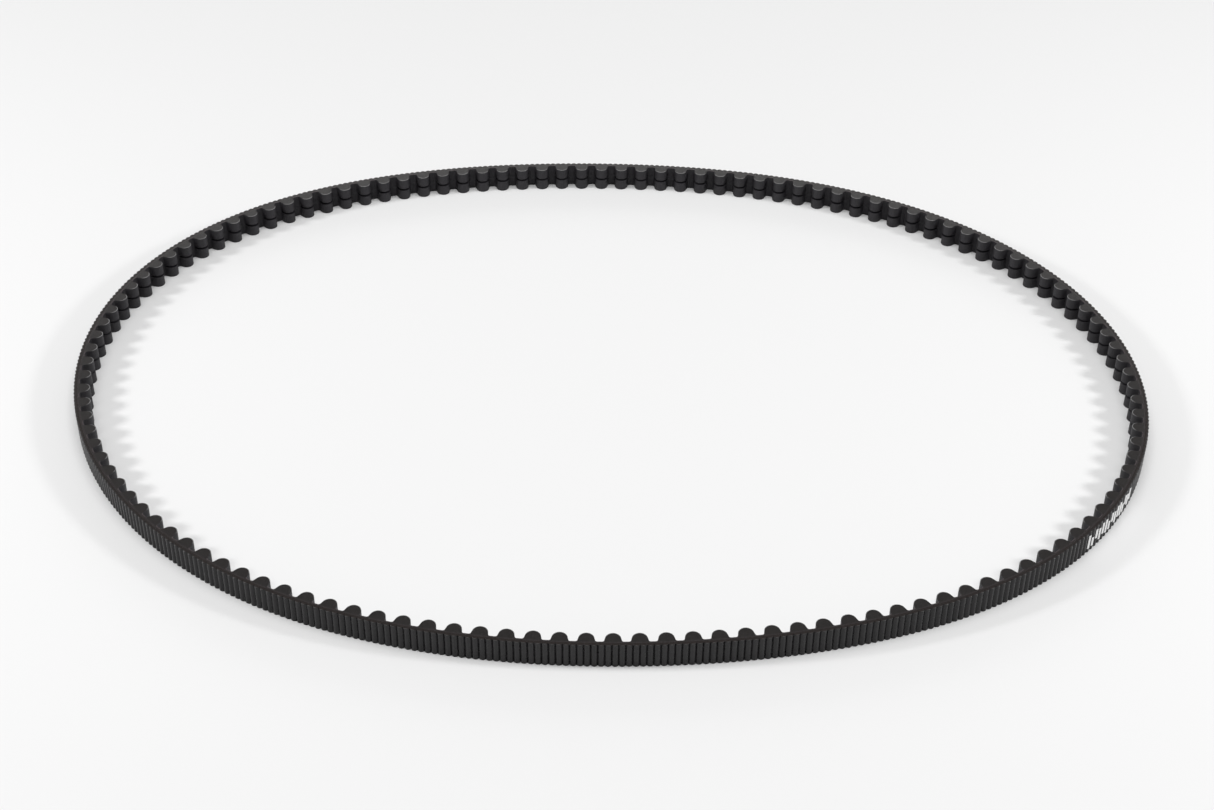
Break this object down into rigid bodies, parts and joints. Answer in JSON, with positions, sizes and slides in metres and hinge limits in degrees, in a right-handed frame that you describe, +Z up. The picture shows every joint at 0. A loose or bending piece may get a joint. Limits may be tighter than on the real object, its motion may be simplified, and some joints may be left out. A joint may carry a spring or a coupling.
{
  "type": "timing belt",
  "caption": "Endless synchronous drive belt in a free oval loop: round teeth inside, split by a centre groove, and a finely ribbed back.",
  "frame": {"origin": "middle of the loop, on the surface that the belt's lower cut edge lies on", "axes": "+X along the loop's long way, +Z up across the belt's width, the belt's length runs anticlockwise seen from above"},
  "size_m": [0.51, 0.3776, 0.012],
  "materials": {
    "tooth_rubber": "matt moulded elastomer under a thin woven facing",
    "tensile_cord": "twisted carbon cord, faint lengthwise gloss",
    "back_rubber": "satin black elastomer with fine ribs",
    "tooth_facing": "fine woven nylon, rubbed, low sheen",
    "print_white": "thin matt ink"
  },
  "bodies": {
    "link_01": {"tooth_facing_01": "tooth_facing", "tooth_body_01": "tooth_rubber", "cord_ply_01": "tensile_cord", "back_cover_01": "back_rubber"},
    "link_02": {"tooth_facing_02": "tooth_facing", "tooth_body_02": "tooth_rubber", "cord_ply_02": "tensile_cord", "back_cover_02": "back_rubber"},
    "link_03": {"tooth_facing_03": "tooth_facing", "tooth_body_03": "tooth_rubber", "cord_ply_03": "tensile_cord", "back_cover_03": "back_rubber"},
    "link_04": {"tooth_facing_04": "tooth_facing", "tooth_body_04": "tooth_rubber", "cord_ply_04": "tensile_cord", "back_cover_04": "back_rubber"},
    "link_05": {"tooth_facing_05": "tooth_facing", "tooth_body_05": "tooth_rubber", "cord_ply_05": "tensile_cord", "back_cover_05": "back_rubber"},
    "link_06": {"tooth_facing_06": "tooth_facing", "tooth_body_06": "tooth_rubber", "cord_ply_06": "tensile_cord", "back_cover_06": "back_rubber"},
    "link_07": {"tooth_facing_07": "tooth_facing", "tooth_body_07": "tooth_rubber", "cord_ply_07": "tensile_cord", "back_cover_07": "back_rubber"},
    "link_08": {"tooth_facing_08": "tooth_facing", "tooth_body_08": "tooth_rubber", "cord_ply_08": "tensile_cord", "back_cover_08": "back_rubber"},
    "link_09": {"tooth_facing_09": "tooth_facing", "tooth_body_09": "tooth_rubber", "cord_ply_09": "tensile_cord", "back_cover_09": "back_rubber"},
    "link_10": {"tooth_facing_10": "tooth_facing", "tooth_body_10": "tooth_rubber", "cord_ply_10": "tensile_cord", "back_cover_10": "back_rubber"},
    "link_11": {"tooth_facing_11": "tooth_facing", "tooth_body_11": "tooth_rubber", "cord_ply_11": "tensile_cord", "back_cover_11": "back_rubber"},
    "link_12": {"tooth_facing_12": "tooth_facing", "tooth_body_12": "tooth_rubber", "cord_ply_12": "tensile_cord", "back_cover_12": "back_rubber"},
    "link_13": {"tooth_facing_13": "tooth_facing", "tooth_body_13": "tooth_rubber", "cord_ply_13": "tensile_cord", "back_cover_13": "back_rubber"},
    "link_14": {"tooth_facing_14": "tooth_facing", "tooth_body_14": "tooth_rubber", "cord_ply_14": "tensile_cord", "back_cover_14": "back_rubber"}
  },
  "joints": [
    {"name": "bend_01", "type": "hinge", "parent": "link_02", "child": "link_01", "pos_m": [0.06652, 0.18097, 0.006], "axis": [0, 0, -1], "range_deg": [-11.44, 9.72]},
    {"name": "bend_02", "type": "hinge", "parent": "link_03", "child": "link_02", "pos_m": [-0.03211, 0.18662, 0.006], "axis": [0, 0, -1], "range_deg": [-12.3, 10.45]},
    {"name": "bend_03", "type": "hinge", "parent": "link_04", "child": "link_03", "pos_m": [-0.1293, 0.16952, 0.006], "axis": [0, 0, -1], "range_deg": [-4.32, 3.7]},
    {"name": "bend_04", "type": "hinge", "parent": "link_05", "child": "link_04", "pos_m": [-0.21942, 0.10911, 0.006], "axis": [0, 0, -1], "range_deg": [-7.06, 8.29]},
    {"name": "bend_05", "type": "hinge", "parent": "link_06", "child": "link_05", "pos_m": [-0.25331, 0.01786, 0.006], "axis": [0, 0, -1], "range_deg": [-11, 13], "stiffness_Nm_per_rad": 6},
    {"name": "bend_06", "type": "hinge", "parent": "link_07", "child": "link_06", "pos_m": [-0.22876, -0.07667, 0.006], "axis": [0, 0, -1], "range_deg": [-7.63, 8.96]},
    {"name": "bend_07", "type": "hinge", "parent": "link_07", "child": "link_08", "pos_m": [-0.16001, -0.14659, 0.006], "axis": [0, 0, 1], "range_deg": [-2.41, 2.09]},
    {"name": "bend_08", "type": "hinge", "parent": "link_08", "child": "link_09", "pos_m": [-0.06795, -0.18135, 0.006], "axis": [0, 0, 1], "range_deg": [-11.68, 9.93]},
    {"name": "bend_09", "type": "hinge", "parent": "link_09", "child": "link_10", "pos_m": [0.03068, -0.18606, 0.006], "axis": [0, 0, 1], "range_deg": [-12.53, 10.65]},
    {"name": "bend_10", "type": "hinge", "parent": "link_10", "child": "link_11", "pos_m": [0.12742, -0.16653, 0.006], "axis": [0, 0, 1], "range_deg": [-4.23, 3.62]},
    {"name": "bend_11", "type": "hinge", "parent": "link_11", "child": "link_12", "pos_m": [0.21747, -0.1057, 0.006], "axis": [0, 0, 1], "range_deg": [-7.33, 8.6]},
    {"name": "bend_12", "type": "hinge", "parent": "link_12", "child": "link_13", "pos_m": [0.25316, -0.01511, 0.006], "axis": [0, 0, 1], "range_deg": [-11.39, 13.41]},
    {"name": "bend_13", "type": "hinge", "parent": "link_13", "child": "link_14", "pos_m": [0.22935, 0.07947, 0.006], "axis": [0, 0, 1], "range_deg": [-7.45, 8.75]}
  ],
  "couplings": [
    {"joint": "bend_01", "follows": "bend_05", "ratio": -0.85682},
    {"joint": "bend_02", "follows": "bend_05", "ratio": -0.92278},
    {"joint": "bend_03", "follows": "bend_05", "ratio": -0.30929},
    {"joint": "bend_04", "follows": "bend_05", "ratio": 0.61488},
    {"joint": "bend_06", "follows": "bend_05", "ratio": 0.66639},
    {"joint": "bend_07", "follows": "bend_05", "ratio": -0.16231},
    {"joint": "bend_08", "follows": "bend_05", "ratio": -0.87555},
    {"joint": "bend_09", "follows": "bend_05", "ratio": -0.94052},
    {"joint": "bend_10", "follows": "bend_05", "ratio": -0.30193},
    {"joint": "bend_11", "follows": "bend_05", "ratio": 0.63879},
    {"joint": "bend_12", "follows": "bend_05", "ratio": 1.0082},
    {"joint": "bend_13", "follows": "bend_05", "ratio": 0.64968}
  ]
}
